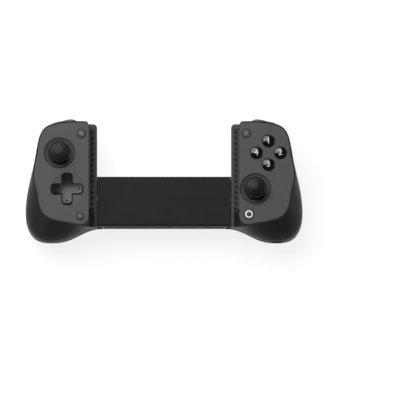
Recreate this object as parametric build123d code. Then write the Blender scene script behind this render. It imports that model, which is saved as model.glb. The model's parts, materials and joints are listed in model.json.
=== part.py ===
from build123d import *
from math import atan2, cos, hypot, pi, radians, sin, sqrt, tan
import os

# A telescoping game controller. Two grips slide apart on a bridge and clamp a phone between them.
# Millimetres. +X is the player's right, +Y the shoulder buttons, +Z out of the face plates.
# The controller lies on its back. The origin is under the middle of it, on that surface.
# Each grip is drawn on the right, and the left one is its mirror image.

# Whole controller
inner_wall = 51.6          # centre plane to the wall of a grip that faces the bridge
grip_breadth = 54.9        # from that wall to the outermost point of the grip
reach = 46.9               # origin to the top of the triggers, and to the foot of the grips
plate_face = 41.5          # height of the face plates
split_height = 22.0        # where the front and rear shells of a grip meet, its widest level
shell_wall = 2.2
overrun = 5.0              # how far every cut runs past the surface it opens
slip = 0.3                 # gap round a piece that moves or is dropped in
running_gap = 0.06         # radial gap of a pin that turns or slides in a bore
seat_gap = 0.2             # gap between flat parts that must not rub

# Face plate and the deck under it
plate_thickness = 2.0
plate_rim = 0.85           # shell that shows round the plate
plate_gap = 0.12
plate_top_radius = 2.4
plate_foot_radius = 6.5
plate_edge = 0.45          # rounding of the plate's upper edge
deck_thickness = 1.8
bay_wall = 57.9            # centre plane to the plate's inner edge and the wall beside the phone

# Ledge that the phone lies on, and its rubber liner
ledge_height = 31.0
ledge_thickness = 3.4
ledge_lip = 2.1            # width of the lip between liner and inner wall
ledge_slope = 2.0          # how far the lip falls towards the bridge
ledge_top = 43.9
ledge_corner = 2.7
liner_thickness = 1.0
liner_wall_thickness = 0.9
liner_top = 39.0
liner_length = 62.8
liner_wall_height = 8.6    # how far the liner climbs the wall beside the phone
liner_groove = 0.9         # open groove above the liner's upper end
pit_count = 15
pit_pitch = 4.22
pit_width = 2.4
pit_height = 1.4
pit_depth = 2.2            # through the liner and into the ledge
bay_foot = -23.8           # lower end of the straight ledge
bay_tip = -30.4            # where the ledge runs out in a point at the plate's edge

# Bridge
bridge_half = 51.4
bridge_top = 3.4
bridge_width = 38.8
bridge_front = 29.5
bridge_split = 22.0
bridge_back = 15.0
bridge_wall = 1.8
bridge_corner = 1.6
tab_thickness = 1.1        # tabs that centre the rear cover in the front one
tab_half = 3.2             # half the width of a tab
tab_place = 33.0
cover_half = 47.0          # half the length of the bridge's rear cover
neck_top = -13.4           # upper end of the tongue that closes on the bridge's rear cover

# Slide bars, racks and the pinion that keeps the grips level
travel = 51.0              # how far each grip slides out
bar_thickness = 4.5
bar_outer_end = 64.0
bar_inner_end = -57.2      # a closed bar ends in the other grip's neck
gear_module = 0.8
pinion_teeth = 12
pressure_angle = 20.0
tooth_backlash = 0.24
pinion_axle = 1.5
pinion_post = 2.4          # post of the front cover that keeps the pinion down
rack_margin = 5.0
peg_radius = 1.2
peg_height = 3.6
peg_place = 18.0
anchor_place = 47.0
spring_radius = 2.1
spring_bore = 1.35
ribbon_width = 4.0
ribbon_thickness = 0.3
ribbon_half = 46.0
rib_width = 1.6

# Shoulder buttons
bumper_top = 37.5
bumper_bottom = 28.7
bumper_depth = 5.5
bumper_round = 1.5
bumper_end = 93.2
bumper_pin = 1.2
bumper_pin_place = (71.0, 43.2)
trigger_top = 28.2
trigger_bottom = 10.5
trigger_skin = 2.3
trigger_end = 91.4
trigger_axis = (38.0, 25.7)     # Y and Z of the trigger's pin
trigger_pin = 1.0
trigger_barrel = 2.3
trigger_barrel_span = (73.0, 84.6)
trigger_post = 2.2
post_clear = 0.25
trigger_foot_gap = 1.6     # room that the trigger's lower edge needs as it swings in

# Thumb sticks
ring_radius = 11.3
ring_bore = 8.9
ring_outer_height = 1.5
ring_inner_height = 0.5
ring_land = 0.25
stick_pivot = 30.0
module_width = 17.4
module_wall = 1.2
module_bottom = 22.6
module_top = 35.0
module_mouth = 7.4
yoke_radius = 6.6
yoke_bore = 5.0
yoke_height = 3.0
yoke_pin = 1.0
hub_radius = 3.6
hub_pin = 0.9
shaft_radius = 1.5
shaft_foot = 26.4
neck_radius = 3.2
cap_radius = 8.3
cap_top = 50.6
cap_dish = 3.9
cap_dish_depth = 0.5
cap_edge = 47.9
cap_under = 46.6

# Directional pad
dpad_span = 23.7
dpad_arm = 7.3
dpad_corner = 2.2
dpad_top = 43.5
dpad_foot = 39.9
dpad_dish_radius = 34.0
dpad_bowl_radius = 13.0
dpad_bowl_depth = 0.8
dpad_gap = 0.75
dpad_pivot_height = 34.4
dpad_stem = 4.0
dpad_block = 4.8
dpad_block_height = 2.8
dpad_pin = 0.9
dpad_stem_gap = 0.45         # room for the stem in the deck as the pad tilts
dimple_radius = 0.8
dimple_place_share = 0.78

# Face buttons and small keys
button_radius = 4.8
button_rise = 2.3
button_edge = 1.0          # straight wall of a button above the plate
button_ring = 9.2          # pattern centre to each button's axis
button_gap = 0.22
key_gap = 0.42
key_rise = 0.6
flange_width = 1.0
flange_thickness = 1.0
cavity_gap = 0.2           # a flange's gap to the deck at rest
key_travel = 0.6           # of the small keys

# Boards and what sits on them
board_top = 34.5
board_thickness = 1.5
board_margin = 5.2
board_shoulder = 32.0      # upper end of the boards, clear of the shoulder buttons
key_pad_thickness = 0.7
key_pad_margin = 1.6
battery_size = (18.0, 27.0, 7.0)
battery_place = (86.0, -10.5)
battery_foot = 7.6
port_width = 8.94
port_height = 3.26
port_skin = 0.35
port_length = 7.4
port_place = 87.2
port_tongue = (6.69, 0.7, 5.0)
port_board = (13.0, 11.0, 1.0)
port_slip = 0.25

# Screws
screw_radius = 1.25
screw_head = 2.1
screw_head_height = 1.5
screw_seat = 14.0
screw_tip = 32.0
screw_boss = 3.3
screw_socket = 0.7
magnet_radius = 2.0
magnet_thickness = 1.0

# Palm pads
pad_thickness = 0.9
pad_top_level = 17.5
pad_glue = 0.12            # layer of glue behind the pad

# Values that follow from the ones above
deck_top = plate_face - plate_thickness
deck_under = deck_top - deck_thickness
bridge_foot = bridge_top - bridge_width
bridge_middle = bridge_top - bridge_width / 2
bar_bottom = bridge_back + bridge_wall + slip
bar_top = bar_bottom + bar_thickness
pitch_radius = gear_module * pinion_teeth / 2
tooth_pitch = pi * gear_module
liner_foot = liner_top - liner_length
liner_inner = inner_wall + ledge_lip
flange_top = deck_under - cavity_gap
deck_screw_seat = deck_top - screw_head_height - seat_gap

# Where the controls sit on a plate: across from the centre plane, and up from the origin
left_stick_place = (80.5, 19.7)
dpad_place = (74.8, -8.4)
view_place = (63.6, 34.8)
capture_place = (64.7, -30.0)
buttons_place = (80.3, 19.9)
right_stick_place = (70.4, -8.3)
menu_place = (63.4, 34.8)
home_place = (65.4, -28.3)
upper_key_radius = 3.3
capture_radius = 2.75
home_radius = 3.75
shell_screw_places = ((96.6, 6.2), (97.9, -31.6))
deck_screw_places = ((61.6, 13.0), (76.4, -29.0))
magnet_places = ((60.6, 24.0), (88.6, 1.5), (60.6, -20.5))
bar_screw_offsets = (2.5, 7.5)   # from the bar's outer end

# Outline of the grip at the plate and at the split, as shares of the breadth across and of the reach along
deck_outline_share = (
    (-0.10, 0.949), (0.15, 0.949), (0.39, 0.947), (0.60, 0.913), (0.728, 0.846),
    (0.812, 0.682), (0.856, 0.386), (0.903, 0.051), (0.852, -0.275), (0.796, -0.546),
    (0.705, -0.661), (0.607, -0.708), (0.39, -0.761), (0.15, -0.81), (-0.10, -0.81),
)
split_outline_share = (
    (-0.10, 0.936), (0.15, 0.936), (0.39, 0.934), (0.60, 0.896), (0.736, 0.815),
    (0.827, 0.631), (0.887, 0.29), (0.951, -0.03), (0.998, -0.392), (0.967, -0.744),
    (0.854, -0.925), (0.654, -1.0), (0.40, -0.945), (0.15, -0.812), (-0.10, -0.75),
)
flank_levels_share = (0.0, 0.12, 0.32, 0.62, 1.0)       # from the plate down to the split

# Sections across the back of a grip, from its top to its foot: where it stands along the reach, its lowest
# height over the plate's height, and where the lowest point, the neck's edge and the outer edge stand across
back_stations_share = (
    (1.02, 0.26, 0.42, 0.16, 0.80), (0.93, 0.06, 0.43, 0.17, 0.815), (0.80, 0.0, 0.45, 0.18, 0.835),
    (0.66, 0.085, 0.50, 0.20, 0.855), (0.53, 0.215, 0.55, 0.21, 0.875), (0.40, 0.225, 0.58, 0.20, 0.90),
    (0.26, 0.13, 0.60, 0.18, 0.92), (0.10, 0.045, 0.60, 0.15, 0.945), (-0.08, 0.01, 0.60, 0.13, 0.97),
    (-0.28, 0.0, 0.61, 0.12, 1.0), (-0.50, 0.012, 0.62, 0.13, 1.01), (-0.70, 0.065, 0.63, 0.15, 1.005),
    (-0.84, 0.16, 0.64, 0.17, 0.99), (-0.94, 0.285, 0.65, 0.20, 0.98), (-1.0, 0.42, 0.65, 0.22, 0.97),
    (-1.04, 0.52, 0.65, 0.24, 0.96),
)
valley_steps_share = (0.0, 0.25, 0.5, 0.75)      # along a section, from the neck's edge to its lowest point
side_turns = (0, 25, 45, 62, 76, 90)             # degrees round a section's outer side
side_power = 2.5                                 # above 2 the outer side is squarer than an ellipse

# Plan curves of the shoulder buttons, as the grip outlines are
bumper_share = (
    (0.285, 0.968), (0.34, 0.9975), (0.444, 0.985), (0.563, 0.948), (0.663, 0.904), (0.758, 0.829),
    (0.809, 0.768),
)
trigger_share = ((0.31, 0.96), (0.39, 0.989), (0.50, 1.0), (0.608, 0.972), (0.70, 0.902), (0.77, 0.81))

# Edge of the palm pad on the back, from its upper end round to its foot
pad_edge_share = (
    (0.86, 0.16), (0.62, 0.177), (0.494, 0.09), (0.381, -0.09), (0.36, -0.25), (0.35, -0.56), (0.35, -1.1),
)


def spot(share):
    """Point on a grip that stands at a share of its breadth and a share of the reach."""
    return (inner_wall + share[0] * grip_breadth, share[1] * reach)


def places(shares):
    return [spot(share) for share in shares]


def mixed(first, second, part):
    """Points that lie a part of the way from one outline to another."""
    return [(a[0] + (b[0] - a[0]) * part, a[1] + (b[1] - a[1]) * part) for a, b in zip(first, second)]


def drawn_in(points, wall):
    """The same clockwise run of points, moved square to the run by a wall."""
    moved = []
    for i, (x, y) in enumerate(points):
        x0, y0 = points[max(i - 1, 0)]
        x1, y1 = points[min(i + 1, len(points) - 1)]
        run = hypot(x1 - x0, y1 - y0)
        moved.append((x + (y1 - y0) / run * wall, y - (x1 - x0) / run * wall))
    return moved


def slab(x0, x1, y0, y1, z0, z1):
    """Box between two limits on each axis."""
    size = (x1 - x0, y1 - y0, z1 - z0)
    middle = ((x0 + x1) / 2, (y0 + y1) / 2, (z0 + z1) / 2)
    return Pos(*middle) * Box(*size)


def post(x, y, z0, z1, radius):
    """Upright cylinder between two heights."""
    return Pos(x, y, (z0 + z1) / 2) * Cylinder(radius, z1 - z0)


def rod_along_x(x0, x1, y, z, radius):
    return Pos((x0 + x1) / 2, y, z) * Rot(0, 90, 0) * Cylinder(radius, x1 - x0)


def rod_along_y(x, y0, y1, z, radius):
    return Pos(x, (y0 + y1) / 2, z) * Rot(90, 0, 0) * Cylinder(radius, y1 - y0)


def prism(face, z0, z1):
    """A flat face drawn at height zero, raised between two heights."""
    return Pos(0, 0, z0) * extrude(face, z1 - z0)


def along_y(face, y0, y1):
    """A face drawn across Y at its zero, drawn out between two places on Y."""
    return Pos(0, y0, 0) * extrude(face, y1 - y0, dir=(0, 1, 0))


def outline_face(points):
    return make_face(Spline(*points) + Line(points[-1], points[0]))


# Grip form
deck_outline = places(deck_outline_share)
split_outline = places(split_outline_share)
far_out = inner_wall + grip_breadth + overrun
far_up = reach + overrun


def front_form(wall):
    """Outside of a grip from the plate down to the split, drawn in by a wall."""
    sections = []
    for level in flank_levels_share:
        height = plate_face - (plate_face - split_height) * level
        points = mixed(deck_outline, split_outline, sin(radians(90 * level)))
        sections.append(Pos(0, 0, height) * outline_face(drawn_in(points, wall)))
    return loft(sections)


def back_section(y, low, station, wall):
    """One section across the back: flat neck, valley, lowest point and rounded outer side."""
    middle, valley, edge = (inner_wall + share * grip_breadth for share in station[2:])
    edge = edge - wall
    neck = max(bridge_back + wall * bridge_wall / shell_wall, low)
    left, top = inner_wall - overrun, split_height + overrun
    points = [(left, y, neck)]
    for step in valley_steps_share:
        points.append((valley + (middle - valley) * step, y, neck - (neck - low) * (1 - cos(pi * step)) / 2))
    for turn in side_turns:
        out = sin(radians(turn))
        rise = 1 - (1 - out ** side_power) ** (1 / side_power)
        points.append((middle + (edge - middle) * out, y, low + (split_height - low) * rise))
    return make_face(Spline(*points) + Polyline(points[-1], (edge, y, top), (left, y, top), points[0]))


def back_form(wall):
    """Outside of a grip's back, drawn in by a wall. It is open above the split."""
    crest = [(along * reach, low * plate_face) for along, low, *across in back_stations_share]
    crest = drawn_in(crest, wall)
    top = split_height + (overrun if wall else 0)
    sides = prism(outline_face(drawn_in(split_outline, wall)), -overrun, top)
    sections = [back_section(y, low, station, wall) for (y, low), station in zip(crest, back_stations_share)]
    return loft(sections) & sides


def corner_round(left, top, radius, z0, z1):
    """What is taken off an upper inner corner to round it."""
    block = slab(left - overrun, left + radius, top - radius, top + overrun, z0, z1)
    return block - post(left + radius, top - radius, z0, z1, radius)


def inner_corner():
    """What is taken off the ledge and the neck above their top and round their upper inner corner."""
    above = slab(inner_wall - overrun, bay_wall, ledge_top, far_up, -overrun, plate_face)
    return above + corner_round(inner_wall, ledge_top, ledge_corner, -overrun, plate_face)


front_solid = front_form(0) & slab(inner_wall, far_out, -far_up, far_up, split_height, plate_face)
front_room = slab(bay_wall + shell_wall, far_out, -far_up, far_up, split_height, deck_under)
front_hollow = front_form(shell_wall) & front_room
back_solid = back_form(0) & slab(inner_wall, far_out, -far_up, far_up, 0, split_height)
back_room = slab(inner_wall + shell_wall, far_out, -far_up, far_up, 0, split_height + overrun)
back_hollow = back_form(shell_wall) & back_room
pad_floor = back_form(pad_thickness)
pad_back = back_form(pad_thickness - pad_glue)


def plate_outline(gap):
    """Face of the plate, or of its recess with a gap, with its two inner corners rounded."""
    edge = drawn_in(deck_outline, plate_rim - gap)
    face = outline_face(edge)
    face = face & Pos(bay_wall - gap + far_out / 2, 0) * Rectangle(far_out, far_out * 2)
    corners = face.vertices().filter_by(lambda v: v.X < bay_wall + plate_gap)
    upper, lower = corners.sort_by(Axis.Y)[-1], corners.sort_by(Axis.Y)[0]
    face = fillet(upper, plate_top_radius + gap)
    corners = face.vertices().filter_by(lambda v: v.X < bay_wall + plate_gap)
    lower = corners.sort_by(Axis.Y)[0]
    return fillet(lower, plate_foot_radius + gap)


def shoulder_plan(shares, depth, end):
    """Plan of a shoulder button: its outer curve, drawn in by a depth, and cut off at its end."""
    curve = places(shares)
    inside = drawn_in(curve, depth)
    far_end, near_end = Line(curve[-1], inside[-1]), Line(inside[0], curve[0])
    face = make_face(Spline(*curve) + far_end + Spline(*inside[::-1]) + near_end)
    return face & Pos(end - far_out / 2, 0) * Rectangle(far_out, far_out * 2)


def screw(x, y, seat, tip, head_up):
    """Pan-head screw with a cross recess. Its head is above or below the seat."""
    side = 1 if head_up else -1
    shaft = post(x, y, min(seat, tip), max(seat, tip), screw_radius - running_gap)
    crown = seat + side * screw_head_height
    head = post(x, y, min(seat, crown), max(seat, crown), screw_head)
    slot = Box(screw_head, screw_socket, screw_head_height) + Box(screw_socket, screw_head, screw_head_height)
    return shaft + head - Pos(x, y, crown) * slot


# Bumper, trigger and the openings for them
bumper_inner_end = spot(bumper_share[0])[0]
trigger_inner_end = spot(trigger_share[0])[0]


def bumper():
    body = prism(shoulder_plan(bumper_share, bumper_depth, bumper_end), bumper_bottom, bumper_top)
    outer = body.edges().filter_by(lambda e: e.geom_type == GeomType.BSPLINE)
    front = outer.sort_by(lambda e: e.center().Y)[-2:]
    body = fillet(front, bumper_round)
    x, y = bumper_pin_place
    return body - post(x, y, bumper_bottom - overrun, bumper_top + overrun, bumper_pin + running_gap)


def trigger():
    skin = prism(shoulder_plan(trigger_share, trigger_skin, trigger_end), trigger_bottom, trigger_top)
    outer = skin.edges().filter_by(lambda e: e.geom_type == GeomType.BSPLINE)
    front = outer.sort_by(lambda e: e.center().Y)[-2:]
    skin = fillet(front, trigger_skin * 0.6)
    y, z = trigger_axis
    x0, x1 = trigger_barrel_span
    web_top = trigger_top - trigger_skin * 0.2
    web = slab(x0, x1, y, spot(trigger_share[3])[1] - trigger_skin * 0.6, z - trigger_barrel * 0.7, web_top)
    barrel = rod_along_x(x0, x1, y, z, trigger_barrel)
    bore = rod_along_x(x0 - overrun, x1 + overrun, y, z, trigger_pin + running_gap)
    return skin + web + barrel - bore


def shoulder_openings():
    upper = slab(bumper_inner_end - slip, bumper_end + slip, trigger_axis[0] - overrun, far_up,
                 bumper_bottom - slip, deck_under)
    lower = slab(trigger_inner_end - slip, trigger_end + slip, trigger_axis[0] - overrun, far_up,
                 trigger_bottom - trigger_foot_gap, bumper_bottom)
    return upper + lower


def trigger_posts():
    """Two slanted posts on the rear shell that carry the trigger's pin."""
    y, z = trigger_axis
    ear = trigger_barrel * 0.95
    side = Polyline((y - ear, z + ear), (y + ear, z + ear), (y + ear, z - ear * 0.6), (y - ear * 1.4, 0),
                    (y - ear * 3.4, 0), (y - ear, z - ear * 2), close=True)
    profile = make_face(Plane.YZ * side)
    x0, x1 = trigger_barrel_span
    inner_post = Pos(x0 - post_clear - trigger_post, 0, 0) * extrude(profile, trigger_post, dir=(1, 0, 0))
    outer_post = Pos(x1 + post_clear, 0, 0) * extrude(profile, trigger_post, dir=(1, 0, 0))
    bore = rod_along_x(x0 - overrun, x1 + overrun, y, z, trigger_pin)
    return inner_post + outer_post - bore


def trigger_axle():
    y, z = trigger_axis
    x0, x1 = trigger_barrel_span
    ends = post_clear + trigger_post
    return rod_along_x(x0 - ends, x1 + ends, y, z, trigger_pin)


# Shells of a grip
def channel_cutter():
    """What is open above the ledge: the straight bay, its pointed foot and the slope below it."""
    left = inner_wall - overrun
    bay = Polyline((left, far_up), (bay_wall, far_up), (bay_wall, bay_tip), (liner_inner, bay_foot),
                   (left, bay_foot), close=True)
    straight = prism(make_face(bay), ledge_height, plate_face + overrun)
    fall = (plate_face - ledge_height) / (bay_wall - inner_wall)
    slope = Polyline((bay_wall, plate_face), (left, plate_face - fall * (bay_wall - left)),
                     (left, plate_face + overrun), (bay_wall, plate_face + overrun), close=True)
    lip_fall = ledge_slope * (liner_inner - left) / ledge_lip
    lip = Polyline((liner_inner, ledge_height), (left, ledge_height - lip_fall),
                   (left, ledge_height + overrun), (liner_inner, ledge_height + overrun), close=True)
    foot = along_y(make_face(Plane.XZ * slope), -far_up, far_up)
    lip = along_y(make_face(Plane.XZ * lip), -far_up, far_up)
    return straight, foot, lip


def liner_pocket():
    return slab(liner_inner, bay_wall, liner_foot, liner_top + liner_groove, ledge_height - liner_thickness,
                ledge_height + overrun)


def bar_window():
    """Opening in the inner wall that both slide bars pass through."""
    start, end = cover_half - overrun, inner_wall + shell_wall + overrun
    foot, top = bridge_foot + bridge_wall, bridge_top - bridge_wall
    return slab(start, end, foot, top, bar_bottom - slip, bar_top + slip)


def control_cuts(side, depth_from, depth_to):
    """Holes for the controls of one side, between two heights."""
    cuts = []
    if side == "left":
        cuts.append(post(*left_stick_place, depth_from, depth_to, ring_bore))
        cuts.append(post(*dpad_place, depth_from, depth_to, dpad_stem + dpad_stem_gap))
    else:
        cuts.append(post(*right_stick_place, depth_from, depth_to, ring_bore))
        for x, y in button_places():
            cuts.append(post(x, y, depth_from, depth_to, button_radius + button_gap))
    for (x, y), radius in small_keys(side):
        cuts.append(post(x, y, depth_from, depth_to, radius + key_gap))
    return cuts


def button_places():
    """Axes of the four face buttons: top, right, bottom, left."""
    x, y = buttons_place
    turns = [radians(turn) for turn in (0, 90, 180, 270)]
    return [(x + button_ring * sin(turn), y + button_ring * cos(turn)) for turn in turns]


def small_keys(side):
    """Places and radii of the small keys of one side."""
    if side == "left":
        return ((view_place, upper_key_radius), (capture_place, capture_radius))
    return ((menu_place, upper_key_radius), (home_place, home_radius))


def key_pockets(side):
    """Room in the shell's walls for the flanges of the keys."""
    depth = flange_thickness + key_travel + slip
    pockets = []
    for (x, y), radius in small_keys(side):
        pockets.append(post(x, y, flange_top - depth, deck_under, radius + flange_width + slip))
    return pockets


def front_shell(side):
    under_ledge = slab(inner_wall + shell_wall, bay_wall + shell_wall + slip, bridge_foot + shell_wall,
                       ledge_top - shell_wall, split_height - overrun, ledge_height - ledge_thickness)
    body = front_solid - front_hollow - under_ledge
    straight, foot, lip = channel_cutter()
    below = slab(0, bay_wall, -far_up, bay_foot, ledge_height - overrun, plate_face + overrun)
    body = body - straight - (foot & below) - lip - liner_pocket() - inner_corner()
    shell_radius = plate_top_radius + plate_rim
    body = body - corner_round(bay_wall, deck_outline[1][1], shell_radius, ledge_height, plate_face + overrun)
    body = body - prism(plate_outline(plate_gap), deck_top, plate_face + overrun)
    body = body - shoulder_openings()
    for pit in liner_pits(ledge_height - pit_depth, ledge_height + overrun):
        body = body - pit
    for x, y in shell_screw_places:
        boss = post(x, y, split_height, deck_top, screw_boss) & front_solid
        body = body + boss - post(x, y, split_height - overrun, screw_tip + slip, screw_radius)
    for x, y in deck_screw_places:
        boss = post(x, y, split_height, deck_top, screw_boss) & front_solid
        body = body + boss - post(x, y, split_height - overrun, deck_top + overrun, screw_radius)
        body = body - post(x, y, deck_screw_seat, deck_top + overrun, screw_head + slip)
    x, y = bumper_pin_place
    body = body + post(x, y, bumper_bottom, deck_under, bumper_pin)
    for x, y in magnet_places:
        body = body - post(x, y, deck_top - magnet_thickness, deck_top + overrun, magnet_radius)
    for cut in control_cuts(side, deck_under - overrun, plate_face + overrun) + key_pockets(side):
        body = body - cut
    if side == "left":
        x, y = dpad_place
        body = body - post(x, y, deck_top - dpad_bowl_depth, deck_top + overrun, dpad_bowl_radius)
        room = post(x, y, deck_under - dpad_stem / 4, deck_under + overrun, dpad_stem + dpad_stem_gap)
        for way in (-1, 1):
            foot_x, wide = x + way * dpad_block, dpad_pin * 2
            near, far = foot_x - dpad_pin, foot_x + dpad_pin
            stand = slab(near, far, y - wide, y + wide, dpad_pivot_height - wide, deck_under)
            hole = rod_along_x(foot_x - wide, foot_x + wide, y, dpad_pivot_height, dpad_pin + running_gap)
            body = body + (stand - room) - hole
    else:
        body = body - port_hole()
    return body


def port_hole():
    return port_outline(port_slip, port_length + overrun, -reach - overrun)


def port_outline(gap, length, start):
    """Block of the charging port's rounded outline, from a place on Y inwards."""
    face = Plane.XZ * SlotOverall(port_width + 2 * gap, port_height + 2 * gap)
    return Pos(port_place, 0, split_height) * along_y(face, start, start + length)


def rear_shell(side):
    start = cover_half + slip
    end, top = inner_wall + shell_wall, bridge_back + bridge_wall
    tongue = slab(start, end, bridge_foot, neck_top, bridge_back, top)
    body = back_solid - back_hollow - inner_corner() + tongue - bar_window() - shoulder_openings()
    body = body + (trigger_posts() & back_solid)
    for x, y in shell_screw_places:
        boss = post(x, y, 0, split_height, screw_boss) & back_solid
        body = body + boss - post(x, y, -overrun, screw_seat, screw_head + slip)
        body = body - post(x, y, -overrun, split_height + overrun, screw_radius + running_gap)
    for x, y in deck_screw_places:
        boss = post(x, y, 0, split_height, screw_boss) & back_solid
        body = body + boss - post(x, y, bridge_back + bridge_wall, split_height + overrun, screw_radius)
    for offset in bar_screw_offsets:
        x, y = bar_outer_end - offset, bar_middle(side)
        body = body + (post(x, y, 0, bar_bottom, screw_boss * 0.8) & back_solid)
        body = body - post(x, y, bridge_back + bridge_wall / 3, bar_bottom + slip, screw_radius)
    if side == "left":
        body = body + battery_cradle()
    else:
        body = body + port_stands() - port_hole()
    return body - pad_region(plate_gap)


def pad_region(gap):
    """Outer skin of the palm inside the pad's edge. With a gap it is the pocket that holds the pad."""
    edge = places(pad_edge_share)
    foot, top = edge[-1][1], edge[0][1]
    face = make_face(Spline(*edge) + Polyline(edge[-1], (far_out, foot), (far_out, top), edge[0]))
    block = prism(face, -overrun, pad_top_level + gap)
    skin = (back_solid & block) - (pad_floor if gap else pad_back)
    x, y = shell_screw_places[1]
    return skin - post(x, y, -overrun, split_height, screw_boss if gap else screw_boss + plate_gap)


# Controls
def face_plate(side):
    body = prism(plate_outline(0), deck_top, plate_face)
    rim = body.faces().sort_by(Axis.Z)[-1].edges()
    body = fillet(rim, plate_edge)
    if side == "left":
        body = body - stick_opening(left_stick_place)
        x, y = dpad_place
        ball = dpad_bowl_radius * dpad_bowl_radius / (2 * dpad_bowl_depth)
        body = body - Pos(x, y, plate_face - dpad_bowl_depth + ball) * Sphere(ball)
        body = body - Pos(x, y, 0) * prism(dpad_cross(dpad_gap), deck_top - overrun, plate_face + overrun)
    else:
        body = body - stick_opening(right_stick_place)
        for x, y in button_places():
            body = body - post(x, y, deck_top - overrun, plate_face + overrun, button_radius + button_gap)
    for (x, y), radius in small_keys(side):
        body = body - post(x, y, deck_top - overrun, plate_face + overrun, radius + key_gap)
    return body


def stick_opening(place):
    """Round opening over the stick's ring, with a bevelled edge."""
    x, y = place
    radius = ring_radius + ring_land
    bevel = plate_thickness / 3
    return post(x, y, deck_top - overrun, plate_face + overrun, radius) + \
        Pos(x, y, plate_face - bevel / 2) * Cone(radius, radius + bevel, bevel)


def dpad_cross(gap):
    """Plan of the directional pad with rounded arms."""
    long, wide = dpad_span + 2 * gap, dpad_arm + 2 * gap
    return RectangleRounded(long, wide, dpad_corner + gap) + RectangleRounded(wide, long, dpad_corner + gap)


def stick_ring(place):
    x, y = place
    outer, inner = deck_top + ring_outer_height, deck_top + ring_inner_height
    profile = Polyline((ring_bore, deck_top), (ring_radius, deck_top), (ring_radius, outer), (ring_bore, inner),
                       close=True)
    return Pos(x, y, 0) * revolve(make_face(Plane.XZ * profile), Axis.Z)


def stick_module(place):
    x, y = place
    half, inside = module_width / 2, module_width / 2 - module_wall
    body = slab(x - half, x + half, y - half, y + half, module_bottom, module_top)
    floor, roof = module_bottom + module_wall, module_top - module_wall
    body = body - slab(x - inside, x + inside, y - inside, y + inside, floor, roof)
    body = body - post(x, y, stick_pivot, module_top + overrun, module_mouth)
    return body - rod_along_x(x - half - overrun, x + half + overrun, y, stick_pivot, yoke_pin + running_gap)


def stick_yoke(place):
    """Gimbal ring with pins along X. It tilts up and down."""
    x, y = place
    half = yoke_height / 2
    body = post(x, y, stick_pivot - half, stick_pivot + half, yoke_radius)
    body = body - post(x, y, stick_pivot - yoke_height, stick_pivot + yoke_height, yoke_bore)
    end = module_width / 2 - module_wall / 4
    start = (yoke_radius + yoke_bore) / 2
    body = body + rod_along_x(x + start, x + end, y, stick_pivot, yoke_pin)
    body = body + rod_along_x(x - end, x - start, y, stick_pivot, yoke_pin)
    return body - rod_along_y(x, y - module_width, y + module_width, stick_pivot, hub_pin + running_gap)


def stick_hub(place):
    """Ball with pins along Y in the gimbal ring, and a bore that the stick slides in."""
    x, y = place
    end = yoke_radius - running_gap
    body = Pos(x, y, stick_pivot) * Sphere(hub_radius)
    body = body + rod_along_y(x, y - end, y + end, stick_pivot, hub_pin)
    long = hub_radius * 2
    return body - post(x, y, stick_pivot - long, stick_pivot + long, shaft_radius + running_gap)


def stick_cap(place):
    """Shaft, flared neck and domed cap with a shallow dish, turned in one piece."""
    x, y = place
    neck_start = stick_pivot + hub_radius * 1.5
    neck_full = deck_under - seat_gap
    neck_end = cap_under - cap_radius * 0.18
    shoulder, rim, crown = cap_radius * 0.86, cap_dish * 1.25, cap_dish * 0.8
    lip, floor = cap_under + cap_dish_depth, cap_top - cap_dish_depth
    shaft = Polyline((0, shaft_foot), (shaft_radius, shaft_foot), (shaft_radius, neck_start),
                     (neck_radius, neck_full), (neck_radius, neck_end), (shoulder, cap_under), (cap_radius, lip))
    brow = Line((cap_radius, lip), (cap_radius, cap_edge))
    dome = Spline((cap_radius, cap_edge), (shoulder, cap_top - cap_dish * 0.34), (rim, cap_top),
                  tangents=((0, 1), (-1, 0)))
    bowl = Spline((rim, cap_top), (crown, cap_top - cap_dish_depth * 0.45), (0, floor),
                  tangents=((-1, 0), (-1, 0)))
    close = Line((0, floor), (0, shaft_foot))
    face = make_face(Plane.XZ * (shaft + brow + dome + bowl + close))
    return Pos(x, y, 0) * revolve(face, Axis.Z)


def dpad():
    """Cross with a dished top, a dimple on each arm, and a stem with two ears for its pivot."""
    x, y = dpad_place
    cross = prism(dpad_cross(0), dpad_foot, dpad_top)
    cross = fillet(cross.faces().sort_by(Axis.Z)[-1].edges(), dpad_corner / 4)
    ball = dpad_dish_radius
    dip = dpad_span * dpad_span / (8 * ball)
    cross = cross - Pos(0, 0, dpad_top + ball - dip) * Sphere(ball)
    for turn in range(4):
        far = dpad_span / 2 * dimple_place_share
        px, py = far * cos(turn * pi / 2), far * sin(turn * pi / 2)
        sunk = dpad_top + ball - dip - sqrt(ball * ball - far * far)
        cross = cross - Pos(px, py, sunk + dimple_radius / 3) * Sphere(dimple_radius)
    ear_foot = dpad_pivot_height - dpad_pin * 2
    stem = Pos(0, 0, (deck_under + dpad_foot) / 2) * Cylinder(dpad_stem, dpad_foot - deck_under)
    ears = slab(-dpad_pin * 1.6, dpad_pin * 1.6, -dpad_stem, dpad_stem, ear_foot, deck_under)
    gap = dpad_block / 2 + seat_gap
    slot_top = dpad_pivot_height + dpad_block_height / 2 + slip * 2
    ears = ears - slab(-dpad_stem, dpad_stem, -gap, gap, ear_foot - overrun, slot_top)
    ears = ears & Pos(0, 0, dpad_pivot_height) * Cylinder(dpad_stem, dpad_stem * 3)
    ears = ears - rod_along_y(0, -dpad_stem * 2, dpad_stem * 2, dpad_pivot_height, dpad_pin + running_gap)
    return Pos(x, y, 0) * (cross + stem + ears)


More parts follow.
